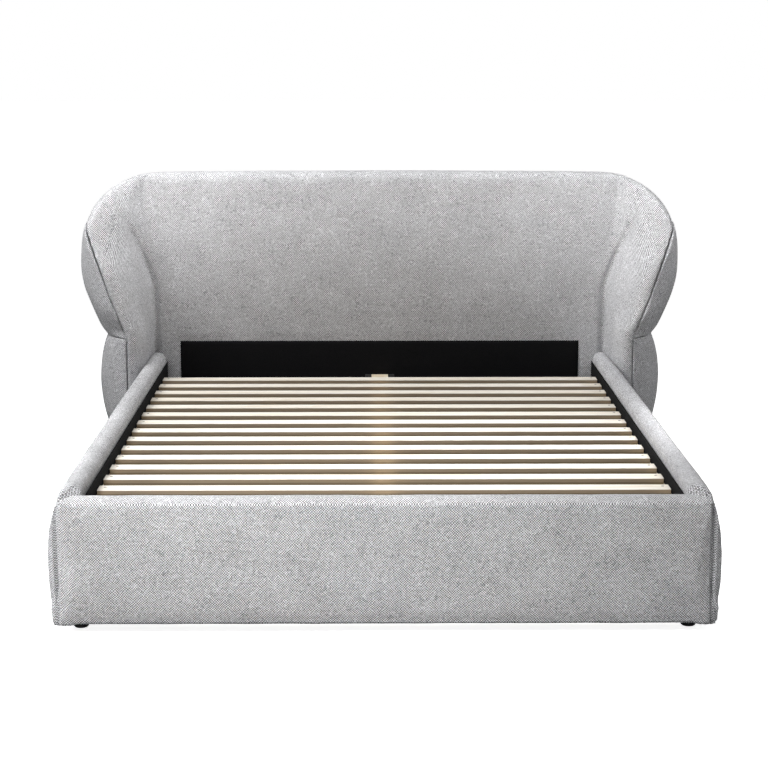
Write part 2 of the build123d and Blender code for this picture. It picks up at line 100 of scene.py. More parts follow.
class Nodes:
    """A small helper that places and joins shader nodes in one tree."""

    def __init__(self, tree: NodeTree) -> None:
        """Keep the tree that the nodes go into."""
        self.tree = tree

    def put(self, kind: str, **values: object) -> Node:
        """Add a node and set its attributes.

        Args:
            kind: Blender's node type.
            values: attributes to set on the node.

        Returns:
            The new node.
        """
        node = self.tree.nodes.new(kind)
        for name, value in values.items():
            setattr(node, name, value)
        return node

    def feed(self, socket: NodeSocket, value: object) -> None:
        """Link an output into a socket, or set its value."""
        if isinstance(value, NodeSocket):
            self.tree.links.new(value, socket)
        elif isinstance(value, tuple) and len(value) == 3 and socket.type == "RGBA":
            socket.default_value = (*value, 1.0)
        else:
            socket.default_value = value

    def fill(self, node: Node, values: dict[str, object]) -> None:
        """Feed several inputs of a node by name."""
        for label, value in values.items():
            self.feed(node.inputs[label], value)

    def joined(self, kind: str, inputs: tuple[object, ...], **values: object) -> NodeSocket:
        """Add a node, feed its first inputs in order and give its first output."""
        node = self.put(kind, **values)
        for socket, value in zip(node.inputs, inputs):
            self.feed(socket, value)
        return node.outputs[0]

    def math(self, operation: str, *values: object, clamp: bool = False) -> NodeSocket:
        """A Math node on up to three values; gives its output."""
        return self.joined("ShaderNodeMath", values, operation=operation, use_clamp=clamp)

    def vector(self, operation: str, *values: object) -> NodeSocket:
        """A Vector Math node; gives its vector output."""
        return self.joined("ShaderNodeVectorMath", values, operation=operation)

    def scaled(self, vector: object, factor: object) -> NodeSocket:
        """A vector times one number."""
        node = self.put("ShaderNodeVectorMath", operation="SCALE")
        self.fill(node, {"Vector": vector, "Scale": factor})
        return node.outputs[0]

    def noise(self, vector: object, scale: float, detail: float = 2.0, rough: float = 0.5) -> Node:
        """A noise texture on a vector."""
        node = self.put("ShaderNodeTexNoise")
        self.fill(node, {"Vector": vector, "Scale": scale, "Detail": detail, "Roughness": rough})
        return node

    def blend(self, share: object, low: object, high: object) -> NodeSocket:
        """A colour mix from low to high."""
        node = self.put("ShaderNodeMix", data_type="RGBA")
        for index, value in zip(COLOUR_MIX_INPUTS, (share, low, high)):
            self.feed(node.inputs[index], value)
        return node.outputs[COLOUR_MIX_OUTPUT]

    def spread(self, value: object, low: object, high: object, to: Span = (0, 1)) -> NodeSocket:
        """A smooth map of a value from low..high onto a range."""
        node = self.put("ShaderNodeMapRange", interpolation_type="SMOOTHSTEP")
        self.fill(node, {"Value": value, "From Min": low, "From Max": high, "To Min": to[0], "To Max": to[1]})
        return node.outputs[0]


def new_group(
    name: str, inputs: dict[str, Socket], outputs: dict[str, Socket]
) -> tuple[Nodes, Node, Node]:
    """Start a shader node group with named sockets.

    Args:
        name: the group's name.
        inputs: names and kinds of its inputs.
        outputs: names and kinds of its outputs.

    Returns:
        The helper for its tree, its input node and its output node.
    """
    tree = bpy.data.node_groups.new(name, "ShaderNodeTree")
    for label, kind in inputs.items():
        tree.interface.new_socket(label, in_out="INPUT", socket_type=kind.value)
    for label, kind in outputs.items():
        tree.interface.new_socket(label, in_out="OUTPUT", socket_type=kind.value)
    nodes = Nodes(tree)
    return nodes, nodes.put("NodeGroupInput"), nodes.put("NodeGroupOutput")


@dataclass(frozen=True)
class Weave:
    """Scales of the woven pattern per metre, and the weights of its parts in tone and height."""

    sway_scale: float = 45.0
    sway_reach: float = 0.9
    facing_power: float = 8.0
    patch_scale: float = 55.0
    patch_band: Span = (0.35, 0.65)
    patch_gain: Span = (0.5, 1.5)
    cell_size: float = 0.5
    weft: Place = (18.0, 18.0, 260.0)
    warp: Place = (260.0, 260.0, 18.0)
    cloud_scale: float = 9.0
    fibre_scale: float = 900.0
    slub_scale: float = 120.0
    lattice_tone: float = 1.25
    cell_tone: float = 0.45
    weft_tone: float = 0.18
    warp_tone: float = 0.10
    cloud_tone: float = 0.40
    fibre_tone: float = 0.40
    slub_tone: float = 0.55
    lattice_height: float = 0.5
    fibre_height: float = 0.9
    cell_height: float = 0.35


@cache
def yarn_group() -> NodeTree:
    """Plain weave of thick heathered yarn in object space.

    Returns:
        A group with the colour and height of the weave.
    """
    nodes, given, out = new_group(
        "yarn_weave",
        {"Place": Socket.VECTOR, "Normal": Socket.VECTOR, "Pitch": Socket.VALUE, "Contrast": Socket.VALUE,
         "Light": Socket.COLOUR, "Dark": Socket.COLOUR},
        {"Colour": Socket.COLOUR, "Height": Socket.VALUE},
    )
    weave = Weave()
    place, normal, pitch = (given.outputs[n] for n in ("Place", "Normal", "Pitch"))
    sway = nodes.vector("SUBTRACT", nodes.noise(place, weave.sway_scale).outputs["Color"], (0.5, 0.5, 0.5))
    swayed = nodes.vector("ADD", place, nodes.scaled(sway, nodes.math("MULTIPLY", pitch, weave.sway_reach)))
    phase = nodes.put("ShaderNodeSeparateXYZ")
    nodes.feed(phase.inputs[0], nodes.scaled(swayed, nodes.math("DIVIDE", math.tau, pitch)))
    facing = nodes.put("ShaderNodeSeparateXYZ")
    nodes.feed(facing.inputs[0], normal)
    waves = [nodes.math("SINE", phase.outputs[axis]) for axis in range(3)]
    shares = [nodes.math("POWER", nodes.math("ABSOLUTE", facing.outputs[axis]), weave.facing_power)
              for axis in range(3)]
    crossings = [nodes.math("MULTIPLY", waves[axis - 1], waves[axis - 2]) for axis in range(3)]
    parts = [nodes.math("MULTIPLY", share, crossing) for share, crossing in zip(shares, crossings)]
    total, whole = (nodes.math("ADD", nodes.math("ADD", *row[:2]), row[2]) for row in (parts, shares))
    lattice = nodes.math("DIVIDE", total, whole)
    patch = nodes.noise(place, weave.patch_scale, 1.0).outputs[0]
    lattice = nodes.math("MULTIPLY", lattice, nodes.spread(patch, *weave.patch_band, weave.patch_gain))
    white = nodes.put("ShaderNodeTexWhiteNoise", noise_dimensions="3D")
    cells = nodes.scaled((weave.cell_size,) * 3, pitch)
    nodes.feed(white.inputs["Vector"], nodes.vector("SNAP", swayed, cells))
    cell = white.outputs["Value"]
    weft = nodes.noise(nodes.vector("MULTIPLY", place, weave.weft), 1.0, 1.0).outputs[0]
    warp = nodes.noise(nodes.vector("MULTIPLY", place, weave.warp), 1.0, 1.0).outputs[0]
    cloud = nodes.noise(place, weave.cloud_scale, 3.0).outputs[0]
    fibre = nodes.noise(place, weave.fibre_scale, 2.0).outputs[0]
    slub = nodes.noise(place, weave.slub_scale, 1.0).outputs[0]
    tone = nodes.math("MULTIPLY", lattice, weave.lattice_tone)
    for part, weight in ((cell, weave.cell_tone), (weft, weave.weft_tone), (warp, weave.warp_tone),
                         (cloud, weave.cloud_tone), (fibre, weave.fibre_tone), (slub, weave.slub_tone)):
        tone = nodes.math("MULTIPLY_ADD", nodes.math("SUBTRACT", part, 0.5), weight, tone)
    tone = nodes.math("MULTIPLY_ADD", tone, given.outputs["Contrast"], 0.5, clamp=True)
    nodes.feed(out.inputs["Colour"], nodes.blend(tone, given.outputs["Dark"], given.outputs["Light"]))
    height = nodes.math("MULTIPLY", lattice, weave.lattice_height)
    for part, weight in ((fibre, weave.fibre_height), (cell, weave.cell_height)):
        height = nodes.math("MULTIPLY_ADD", part, weight, height)
    nodes.feed(out.inputs["Height"], height)
    return nodes.tree


@dataclass(frozen=True)
class Grain:
    """Scales of the wood grain per metre and the weights of its parts."""

    stretch: Place = (0.07, 1.0, 1.0)
    bend_scale: float = 9.0
    late_band: Span = (0.45, 0.95)
    fibre: Place = (6.0, 420.0, 420.0)
    patch_scale: float = 3.5
    late_tone: float = 0.6
    fibre_tone: float = 0.5
    late_height: float = 0.4


@cache
def grain_group() -> NodeTree:
    """Softwood grain that runs along the first axis of the vector it is given.

    Returns:
        A group with the colour and the height of the grain.
    """
    nodes, given, out = new_group(
        "wood_grain",
        {"Place": Socket.VECTOR, "Early": Socket.COLOUR, "Late": Socket.COLOUR, "Rings": Socket.VALUE},
        {"Colour": Socket.COLOUR, "Height": Socket.VALUE},
    )
    wood = Grain()
    place = given.outputs["Place"]
    stretched = nodes.vector("MULTIPLY", place, wood.stretch)
    bend = nodes.noise(stretched, wood.bend_scale, 2.0).outputs[0]
    rings = nodes.math("MULTIPLY", bend, given.outputs["Rings"])
    late = nodes.spread(nodes.math("FRACT", rings), *wood.late_band)
    fibre = nodes.noise(nodes.vector("MULTIPLY", place, wood.fibre), 1.0, 2.0).outputs[0]
    patch = nodes.noise(stretched, wood.patch_scale, 1.0).outputs[0]
    share = nodes.math("MULTIPLY", late, wood.late_tone)
    share = nodes.math("MULTIPLY_ADD", nodes.math("SUBTRACT", fibre, 0.5), wood.fibre_tone, share)
    share = nodes.math("ADD", share, nodes.math("SUBTRACT", patch, 0.5), clamp=True)
    nodes.feed(out.inputs["Colour"], nodes.blend(share, given.outputs["Early"], given.outputs["Late"]))
    nodes.feed(out.inputs["Height"], nodes.math("MULTIPLY_ADD", late, wood.late_height, fibre))
    return nodes.tree


SCUFF_BROAD = (1.0, 4.0, 0.6)
SCUFF_FINE = (9.0, 3.0, 0.6)
SCUFF_BAND = (0.22, 0.4)


@cache
def scuff_group() -> NodeTree:
    """Fine scuffs and dust for moulded and plated surfaces.

    Returns:
        A group with a mask of scuffs and a fine height.
    """
    nodes, given, out = new_group(
        "scuffs",
        {"Place": Socket.VECTOR, "Scale": Socket.VALUE},
        {"Mask": Socket.VALUE, "Height": Socket.VALUE},
    )
    place = nodes.scaled(given.outputs["Place"], given.outputs["Scale"])
    broad = nodes.noise(place, *SCUFF_BROAD).outputs[0]
    fine = nodes.noise(place, *SCUFF_FINE).outputs[0]
    nodes.feed(out.inputs["Mask"], nodes.spread(nodes.math("MULTIPLY", broad, fine), *SCUFF_BAND))
    nodes.feed(out.inputs["Height"], fine)
    return nodes.tree


class Surface:
    """A material in the making: a Principled shader, its place vectors and a bump."""

    def __init__(self, name: str) -> None:
        """Start an empty material with a Principled shader."""
        self.material = bpy.data.materials.new(name)
        self.material.use_nodes = True
        self.nodes = Nodes(self.material.node_tree)
        self.shader = self.material.node_tree.nodes["Principled BSDF"]
        coordinate = self.nodes.put("ShaderNodeTexCoord")
        self.place = coordinate.outputs["Object"]
        self.normal = coordinate.outputs["Normal"]

    def group(self, tree: NodeTree, **values: object) -> Node:
        """Place a shared group and feed its inputs."""
        node = self.nodes.put("ShaderNodeGroup", node_tree=tree)
        self.nodes.fill(node, values)
        return node

    def set(self, **values: object) -> None:
        """Feed sockets of the Principled shader; underscores stand for spaces."""
        self.nodes.fill(self.shader, {label.replace("_", " "): value for label, value in values.items()})

    def bump(self, height: object, strength: float, distance: float) -> None:
        """Bump the surface by a height."""
        node = self.nodes.put("ShaderNodeBump")
        self.nodes.fill(node, {"Height": height, "Strength": strength, "Distance": distance})
        self.nodes.feed(self.shader.inputs["Normal"], node.outputs["Normal"])


@dataclass(frozen=True)
class YarnFinish:
    """Cloth of flecked yarn; as it stands, the heathered upholstery fabric."""

    name: str = "heather_weave"
    light: Colour = (0.90, 0.90, 0.92)
    dark: Colour = (0.12, 0.12, 0.127)
    pitch: float = 6.6 * MM
    contrast: float = 1.25
    rough: float = 0.95
    specular: float = 0.15
    sheen: float = 0.03
    sheen_rough: float = 0.5
    bump: float = 0.75
    bump_depth: float = 0.9 * MM

    def material(self) -> Material:
        """Make the fabric's material."""
        surface = Surface(self.name)
        yarn = surface.group(yarn_group(), Place=surface.place, Normal=surface.normal, Pitch=self.pitch,
                             Contrast=self.contrast, Light=self.light, Dark=self.dark)
        surface.set(Base_Color=yarn.outputs["Colour"], Roughness=self.rough, Specular_IOR_Level=self.specular,
                    Sheen_Weight=self.sheen, Sheen_Roughness=self.sheen_rough)
        surface.bump(yarn.outputs["Height"], self.bump, self.bump_depth)
        return surface.material


@dataclass(frozen=True)
class WoodFinish:
    """Planed softwood or raw board."""

    name: str
    early: Colour
    late: Colour
    rings: float = 9.0
    turn: Place = (0.0, 0.0, 0.0)
    rough: float = 0.62
    specular: float = 0.3
    bump: float = 0.25
    bump_depth: float = 0.3 * MM
    # Painted shade on the long edges: faces that look along the bed are coloured darker than the top, lighter
    # above and darker below.
    edge_shade_levels: Span | None = None
    edge_shade_dark: Colour = (0.20, 0.155, 0.095)
    edge_shade_light: Colour = (0.42, 0.33, 0.23)
    edge_shade_wave: Place = (3.0, 20.0, 60.0)
    edge_shade_wave_depth: float = 2.0 * MM
    edge_shade_step: Span = (0.42, 0.52)
    edge_shade_streak: Place = (7.0, 300.0, 700.0)
    edge_shade_streak_tone: float = 0.7
    edge_shade_facing: Span = (0.75, 0.9)

    def material(self) -> Material:
        """Make the wood's material, with painted shade on the long edges where it has levels."""
        surface = Surface(self.name)
        nodes = surface.nodes
        turned = nodes.put("ShaderNodeVectorRotate", rotation_type="EULER_XYZ")
        nodes.feed(turned.inputs["Vector"], surface.place)
        turned.inputs["Rotation"].default_value = self.turn
        grain = surface.group(grain_group(), Place=turned.outputs[0], Early=self.early, Late=self.late,
                              Rings=self.rings)
        colour = grain.outputs["Colour"]
        if self.edge_shade_levels is not None:
            colour = self.painted_edge_shade(surface, colour)
        surface.set(Base_Color=colour, Roughness=self.rough, Specular_IOR_Level=self.specular)
        surface.bump(grain.outputs["Height"], self.bump, self.bump_depth)
        return surface.material

    def painted_edge_shade(self, surface: Surface, top: NodeSocket) -> NodeSocket:
        """Paint shade on the faces that look along the bed: darker than the planed top, lighter above and
        darker below, with dark streaks.

        Args:
            surface: the material in the making.
            top: colour of the planed faces.

        Returns:
            The colour with painted shade on the long edges.
        """
        nodes = surface.nodes
        low, high = self.edge_shade_levels
        place = nodes.put("ShaderNodeSeparateXYZ")
        nodes.feed(place.inputs[0], surface.place)
        facing = nodes.put("ShaderNodeSeparateXYZ")
        nodes.feed(facing.inputs[0], surface.normal)
        wave = nodes.noise(nodes.vector("MULTIPLY", surface.place, self.edge_shade_wave), 1.0, 2.0).outputs[0]
        level = nodes.math("MULTIPLY_ADD", wave, self.edge_shade_wave_depth, place.outputs[2])
        upper_share = nodes.spread(level, *[low + share * (high - low) for share in self.edge_shade_step])
        streak = nodes.noise(nodes.vector("MULTIPLY", surface.place, self.edge_shade_streak), 1.0, 2.0).outputs[0]
        # Painted shade: a darker lower part, a lighter upper part and darker streaks on the edges.
        edge = nodes.blend(upper_share, self.edge_shade_dark, self.edge_shade_light)
        edge = nodes.blend(nodes.math("MULTIPLY", streak, self.edge_shade_streak_tone), edge, self.edge_shade_dark)
        side = nodes.spread(nodes.math("ABSOLUTE", facing.outputs[1]), *self.edge_shade_facing)
        return nodes.blend(side, top, edge)


@dataclass(frozen=True)
class HardFinish:
    """Moulded plastic, powder coat or plated steel."""

    name: str
    colour: Colour
    scuffed: Colour
    metallic: float = 0.0
    rough: Span = (0.4, 0.65)
    scale: float = 120.0
    bump: float = 0.15
    bump_depth: float = 0.2 * MM

    def material(self) -> Material:
        """Make the hard material."""
        surface = Surface(self.name)
        scuff = surface.group(scuff_group(), Place=surface.place, Scale=self.scale)
        mask = scuff.outputs["Mask"]
        surface.set(Base_Color=surface.nodes.blend(mask, self.colour, self.scuffed), Metallic=self.metallic,
                    Roughness=surface.nodes.spread(mask, 0.0, 1.0, self.rough))
        surface.bump(scuff.outputs["Height"], self.bump, self.bump_depth)
        return surface.material


UPHOLSTERY = YarnFinish()
LINING = YarnFinish("lining_cloth", (0.011, 0.011, 0.012), (0.004, 0.004, 0.0045), pitch=1.6 * MM,
                    contrast=1.2, specular=0.08, sheen=0.0, bump=0.4, bump_depth=0.3 * MM)
SLAT_LEVELS = (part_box("slat_01")[0][2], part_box("slat_01")[1][2])
# The slats get painted shade on their long edges, placed by their levels.
SLAT_PINE = WoodFinish("slat_pine", (0.90, 0.85, 0.76), (0.79, 0.70, 0.56), edge_shade_levels=SLAT_LEVELS)
BEAM_PINE = WoodFinish("beam_pine", (0.84, 0.74, 0.57), (0.70, 0.55, 0.37), turn=(0.0, 0.0, math.pi / 2))
LEG_PINE = WoodFinish("leg_pine", (0.84, 0.74, 0.57), (0.70, 0.55, 0.37), turn=(0.0, math.pi / 2, 0.0))
BOARD_PLY = WoodFinish("raw_ply", (0.66, 0.52, 0.35), (0.52, 0.38, 0.23), rings=6.0)
FRAME_TIMBER = WoodFinish("frame_timber", (0.70, 0.54, 0.36), (0.56, 0.40, 0.24), rings=7.0)
POWDER_COAT = HardFinish("powder_coat", (0.02, 0.02, 0.022), (0.05, 0.05, 0.05), rough=(0.45, 0.6))
ZINC_PLATE = HardFinish("zinc_plate", (0.58, 0.58, 0.56), (0.40, 0.40, 0.39), metallic=1.0, rough=(0.3, 0.5))
DARK_SCREW = HardFinish("dark_screw", (0.06, 0.055, 0.05), (0.12, 0.11, 0.10), metallic=0.8, rough=(0.4, 0.6))
MOULDED_BLACK = HardFinish("moulded_black", (0.012, 0.012, 0.013), (0.035, 0.035, 0.035), rough=(0.5, 0.7))


def merged_shape(nodes: tuple[str, ...]) -> tuple[list[Vector], list[list[int]]]:
    """Points and faces of several CAD nodes together.

    Args:
        nodes: names of the nodes.

    Returns:
        The points and the faces.
    """
    points: list[Vector] = []
    faces: list[list[int]] = []
    for name in nodes:
        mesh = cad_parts[name].data
        start = len(points)
        points += [v.co.copy() for v in mesh.vertices]
        faces += [[start + i for i in p.vertices] for p in mesh.polygons]
    return points, faces


WELD = 0.02 * MM
RELAX_STEP = 0.5
SEED_SHIFT = (1.0, 2.3, -1.7)
SLOW_WAVE, QUICK_WAVE = 0.16, 0.055
QUICK_SHARE, QUICK_SEED = 0.5, 5.0
NEIGHBOURS = 4
NEAREST = 0.1 * MM
TINY = 1e-9


def mesh_object(name: str, points: list, faces: list) -> Object:
    """Make a linked mesh object with shared corners welded."""
    mesh = bpy.data.meshes.new(name)
    mesh.from_pydata(points, [], faces)
    shape = bmesh.new()
    shape.from_mesh(mesh)
    bmesh.ops.remove_doubles(shape, verts=shape.verts, dist=WELD)
    bmesh.ops.recalc_face_normals(shape, faces=shape.faces)
    shape.to_mesh(mesh)
    shape.free()
    piece = bpy.data.objects.new(name, mesh)
    bpy.context.scene.collection.objects.link(piece)
    return piece


def baked_mesh(piece: Object) -> None:
    """Apply all modifiers of a piece to its mesh."""
    graph = bpy.context.evaluated_depsgraph_get()
    made = bpy.data.meshes.new_from_object(piece.evaluated_get(graph))
    old = piece.data
    piece.modifiers.clear()
    piece.data = made
    bpy.data.meshes.remove(old)


def remeshed(piece: Object, voxel: float) -> None:
    """Rebuild a closed mesh from even voxels and drop loose crumbs."""
    remesh = piece.modifiers.new("remesh", "REMESH")
    remesh.mode = "VOXEL"
    remesh.voxel_size = voxel
    baked_mesh(piece)
    drop_crumbs(piece)


def drop_crumbs(piece: Object) -> None:
    """Delete all but the largest connected part of a mesh."""
    shape = bmesh.new()
    shape.from_mesh(piece.data)
    left = set(shape.verts)
    parts = []
    while left:
        edge = [left.pop()]
        part = list(edge)
        while edge:
            found = {link.other_vert(vert) for vert in edge for link in vert.link_edges} & left
            left -= found
            part += found
            edge = list(found)
        parts.append(part)
    crumbs = [vert for part in sorted(parts, key=len)[:-1] for vert in part]
    if crumbs:
        bmesh.ops.delete(shape, geom=crumbs, context="VERTS")
        shape.to_mesh(piece.data)
    shape.free()


def points_of(piece: Object) -> Array:
    """Corner points of a piece as an array."""
    points = np.empty(len(piece.data.vertices) * 3, np.float32)
    piece.data.vertices.foreach_get("co", points)
    return points.reshape(-1, 3).astype(float)


def move_points(piece: Object, points: Array) -> None:
    """Write corner points back to a piece."""
    piece.data.vertices.foreach_set("co", points.astype(np.float32).ravel())
    piece.data.update()


def normals_of(piece: Object) -> Array:
    """Corner normals of a piece as an array."""
    normals = np.empty(len(piece.data.vertices) * 3, np.float32)
    piece.data.vertex_normals.foreach_get("vector", normals)
    return normals.reshape(-1, 3).astype(float)


def relax(piece: Object, rounds: int, share: Array | float = 1.0) -> None:
    """Even out a mesh by moving each corner towards its neighbours.

    Args:
        piece: the mesh to even out.
        rounds: how often.
        share: how much each corner follows, from 0 to 1.
    """
    points = points_of(piece)
    ends = np.empty(len(piece.data.edges) * 2, np.int32)
    piece.data.edges.foreach_get("vertices", ends)
    first, second = ends.reshape(-1, 2).T
    count = len(points)
    near = np.bincount(first, minlength=count) + np.bincount(second, minlength=count)
    weight = RELAX_STEP * np.broadcast_to(np.asarray(share, float), (count,))
    for _ in range(rounds):
        for axis in range(3):
            column = points[:, axis]
            total = np.bincount(first, column[second], count) + np.bincount(second, column[first], count)
            points[:, axis] = column + weight * (total / np.maximum(near, 1) - column)
    move_points(piece, points)


def soft_step(value: Array, low: float, high: float) -> Array:
    """Smooth step of an array from low to high."""
    share = np.clip((value - low) / (high - low), 0.0, 1.0)
    return share * share * (3.0 - 2.0 * share)


def band(value: Array, rise: Span, fall: Span) -> Array:
    """Share of an array that rises over one span and falls over another."""
    return soft_step(value, *rise) * (1.0 - soft_step(value, *fall))


def uneven(points: Array, size: float, seed: float) -> Array:
    """Slow hand-made unevenness at each point, about -1 to 1."""
    shift = Vector([part * seed for part in SEED_SHIFT])
    return np.array([noise.noise(Vector(p) / size + shift) for p in points])


@dataclass(frozen=True)
class ClothSetup:
    """How the covers are simulated."""

    quality: int = 4
    mass: float = 0.3
    stiffness: float = 20.0
    bending: float = 2.0
    pressure: float = 4.0
    frames: int = 20
    pinned_below: float = 0.5


def simulated(piece: Object, free: Array) -> Array:
    """Corner points of a cover after its filling has pressed on it for some frames.

    Args:
        piece: the closed cover.
        free: how free each corner is; those with little freedom are pinned.

    Returns:
        The points at the last frame.
    """
    setup = ClothSetup()
    held = piece.vertex_groups.new(name="held")
    held.add([int(index) for index in np.nonzero(free < setup.pinned_below)[0]], 1.0, "REPLACE")
    cloth = piece.modifiers.new("cover", "CLOTH")
    cloth.settings.quality = setup.quality
    cloth.settings.mass = setup.mass
    cloth.settings.tension_stiffness = setup.stiffness
    cloth.settings.compression_stiffness = setup.stiffness
    cloth.settings.bending_stiffness = setup.bending
    cloth.settings.use_pressure = True
    cloth.settings.uniform_pressure_force = setup.pressure
    cloth.settings.effector_weights.gravity = 0.0
    cloth.settings.vertex_group_mass = "held"
    cloth.collision_settings.use_collision = False
    scene = bpy.context.scene
    for step in range(1, setup.frames + 1):
        scene.frame_set(step)
    pressed = piece.evaluated_get(bpy.context.evaluated_depsgraph_get())
    points = np.empty(len(pressed.data.vertices) * 3, np.float32)
    pressed.data.vertices.foreach_get("co", points)
    scene.frame_set(1)
    return points.reshape(-1, 3).astype(float)


BACK = CAD_BOX[1][1]
BACK_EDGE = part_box("headboard_back_cover")[1][0] - 6 * MM
LAP_DEPTH = (-10 * MM, 2 * MM)
LAPS = {
    "lower": ((BACK_EDGE, 0.026), (0.900, 0.026), (0.900, 0.470), (BACK_EDGE, 0.470)),
    "upper": ((BACK_EDGE, 0.468), (0.892, 0.468), (1.010, 0.780), (1.000, 0.830), (0.955, 0.915),
              (0.910, 0.960), (BACK_EDGE, 0.975)),
}


@dataclass
class Pad:
    """One upholstered piece: a CAD solid remeshed, swollen by its filling and covered in fabric."""

    name: str
    nodes: tuple[str, ...]
    core: tuple[str, ...]
    voxel: float = 7 * MM
    rounds: int = 4
    swell: float = 3 * MM
    ripple: float = 1.2 * MM
    seed: float = 1.0
    fill: float = 0.9
    cage: float = 16 * MM
    hold: Span = (6 * MM, 24 * MM)
    lap: tuple[Span, ...] = ()
    piece: Object = field(init=False)

    def build(self) -> Object:
        """Build the soft form from its CAD solids.

        Returns:
            The finished mesh object.
        """
        points, faces = merged_shape(self.nodes)
        if self.lap:
            self.add_lap(points, faces)
        self.piece = mesh_object(self.name, points, faces)
        remeshed(self.piece, self.voxel)
        relax(self.piece, self.rounds)
        self.shape()
        self.fill_out()
        return self.piece

    def add_lap(self, points: list[Vector], faces: list[list[int]]) -> None:
        """Add the slab by which the cover reaches over the plank behind it."""
        start, count = len(points), len(self.lap)
        points += [Vector((x, BACK + y, z)) for y in LAP_DEPTH for x, z in self.lap]
        faces += [list(range(start, start + count)), list(range(start + count, start + 2 * count))]
        faces += [[start + i, start + (i + 1) % count, start + count + (i + 1) % count, start + count + i]
                  for i in range(count)]

    def shape(self) -> None:
        """Extra shaping of one kind of pad; plain pads need none."""

    def freedom(self, points: Array) -> Array:
        """How far each point may leave the solid: 0 where it lies on the core, 1 well away from it."""
        tree = BVHTree.FromPolygons(*merged_shape(self.core))
        reach = np.array([tree.find_nearest(Vector(p))[3] for p in points])
        return soft_step(reach, *self.hold)

    def fill_out(self) -> None:
        """Swell the pad by a cloth simulation and add slow unevenness."""
        rest = points_of(self.piece)
        quick = uneven(rest, QUICK_WAVE, self.seed + QUICK_SEED)
        wave = uneven(rest, SLOW_WAVE, self.seed) + QUICK_SHARE * quick
        moved = normals_of(self.piece) * (self.ripple * wave)[:, None]
        moved += self.swollen(rest)
        move_points(self.piece, rest + moved * self.freedom(rest)[:, None])

    def swollen(self, points: Array) -> Array:
        """How far the filling presses on the cover, from a cloth simulation of a coarser copy.

        Args:
            points: corner points of the fine cover.

        Returns:
            A move for each point, no longer than the pad's swell.
        """
        cage = bpy.data.objects.new(f"{self.name}_cage", self.piece.data.copy())
        bpy.context.scene.collection.objects.link(cage)
        remeshed(cage, self.cage)
        rest = points_of(cage)
        moves = simulated(cage, self.freedom(rest)) - rest
        length = np.linalg.norm(moves, axis=1, keepdims=True)
        moves *= np.minimum(1.0, self.swell / np.maximum(length, TINY))
        tree = KDTree(len(rest))
        for index, point in enumerate(rest):
            tree.insert(point, index)
        tree.balance()
        near = [tree.find_n(point, NEIGHBOURS) for point in points]
        index = np.array([[found[1] for found in row] for row in near])
        weight = 1.0 / (np.array([[found[2] for found in row] for row in near]) + NEAREST)
        weight /= weight.sum(axis=1, keepdims=True)
        mesh = cage.data
        bpy.data.objects.remove(cage)
        bpy.data.meshes.remove(mesh)
        return (moves[index] * weight[..., None]).sum(axis=1)

    def dress(self, material: Material) -> None:
        """Cover the pad, let it ride on the bed and stand for its nodes."""
        cover(self.piece, material)
        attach(self.piece, BED)
        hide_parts(*self.nodes)


def cover(piece: Object, material: Material) -> None:
    """Give a piece one material and smooth shading."""
    piece.data.materials.clear()
    piece.data.materials.append(material)
    piece.data.polygons.foreach_set("use_smooth", [True] * len(piece.data.polygons))


FOOT_CORNER = (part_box("foot_rail_pad")[1][0], -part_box("side_rail_pad_right")[0][1])


@dataclass
class RailPad(Pad):
    """A padded side rail, whose cover hangs below its board and is pulled square at its lower edge."""

    fullness: float = 6 * MM
    full_below: Span = (0.24, 0.36)
    outward: Span = (0.4, 0.9)
    hem: float = 3 * MM
    lift: float = 0.0
    lift_from: Span = (0.27, 0.33)
    square: float = 28 * MM
    low: Span = (0.06, 0.09)
    seam_depth: float = 16 * MM
    seam_width: float = 7 * MM
    seam_ahead: Span = (-0.035, -0.012)

    def shape(self) -> None:
        """Fill out the outer side, lower the hem, lift the top, square the edges and draw in the seam."""
        points = points_of(self.piece)
        normals = normals_of(self.piece)
        free = self.freedom(points)
        level = normals * np.array([1.0, 1.0, 0.0])
        bottom = 1.0 - soft_step(points[:, 2], *self.low)
        corner = self.square * (1.0 - np.abs(normals).max(axis=1))
        pushed = normals * (corner * bottom)[:, None]
        pushed[:, 2] += normals[:, 2] * corner * self.mitred(points, normals)
        outer = soft_step(np.linalg.norm(level, axis=1), *self.outward)
        full = self.fullness * outer * (1.0 - soft_step(points[:, 2], *self.full_below))
        points += (pushed + level * full[:, None]) * free[:, None]
        points[:, 2] -= self.hem * bottom
        points[:, 2] += self.lift * soft_step(points[:, 2], *self.lift_from)
        move_points(self.piece, points + self.seam(points))

    def mitred(self, points: Array, normals: Array) -> Array:
        """Where the upper edge is pulled square; nowhere on a side rail."""
        return np.zeros(len(points))

    def seam(self, points: Array) -> Array:
        """How far the seam at the sewn front corner draws each point in, towards the head of the bed.

        Args:
            points: corner points of the cover.

        Returns:
            A move for each point.
        """
        near = 1.0 - soft_step(np.abs(np.abs(points[:, 0]) - FOOT_CORNER[0]), 0.0, self.seam_width)
        ahead = soft_step(-points[:, 1], *[FOOT_CORNER[1] + away for away in self.seam_ahead])
        return np.outer(self.seam_depth * near * ahead, (0.0, 1.0, 0.0))


@dataclass
class FootPad(RailPad):
    """The padded foot rail, sewn to the side rails at both front corners."""

    fullness: float = 8 * MM
    full_below: Span = (0.03, 0.20)
    lift: float = 8 * MM
    mitre: Span = (-0.05, -0.03)

    def mitred(self, points: Array, normals: Array) -> Array:
        """Where the upper edge is pulled square: at both ends, but not along the front."""
        ends = soft_step(np.abs(points[:, 0]), *[FOOT_CORNER[0] + away for away in self.mitre])
        return ends * (1.0 - np.abs(normals[:, 1]))


@dataclass(frozen=True)
class TopEdge:
    """How the headboard's top edge is brought into one slow curve."""

    top: float = 1.028
    step: float = 0.01
    end: float = 1.0
    rise: float = 5 * MM
    crown: float = 4 * MM
    crown_half: float = 0.74
    window: int = 23
    margin: int = 20
    high: Span = (-0.13, -0.03)
    beside: Span = (0.84, 0.93)


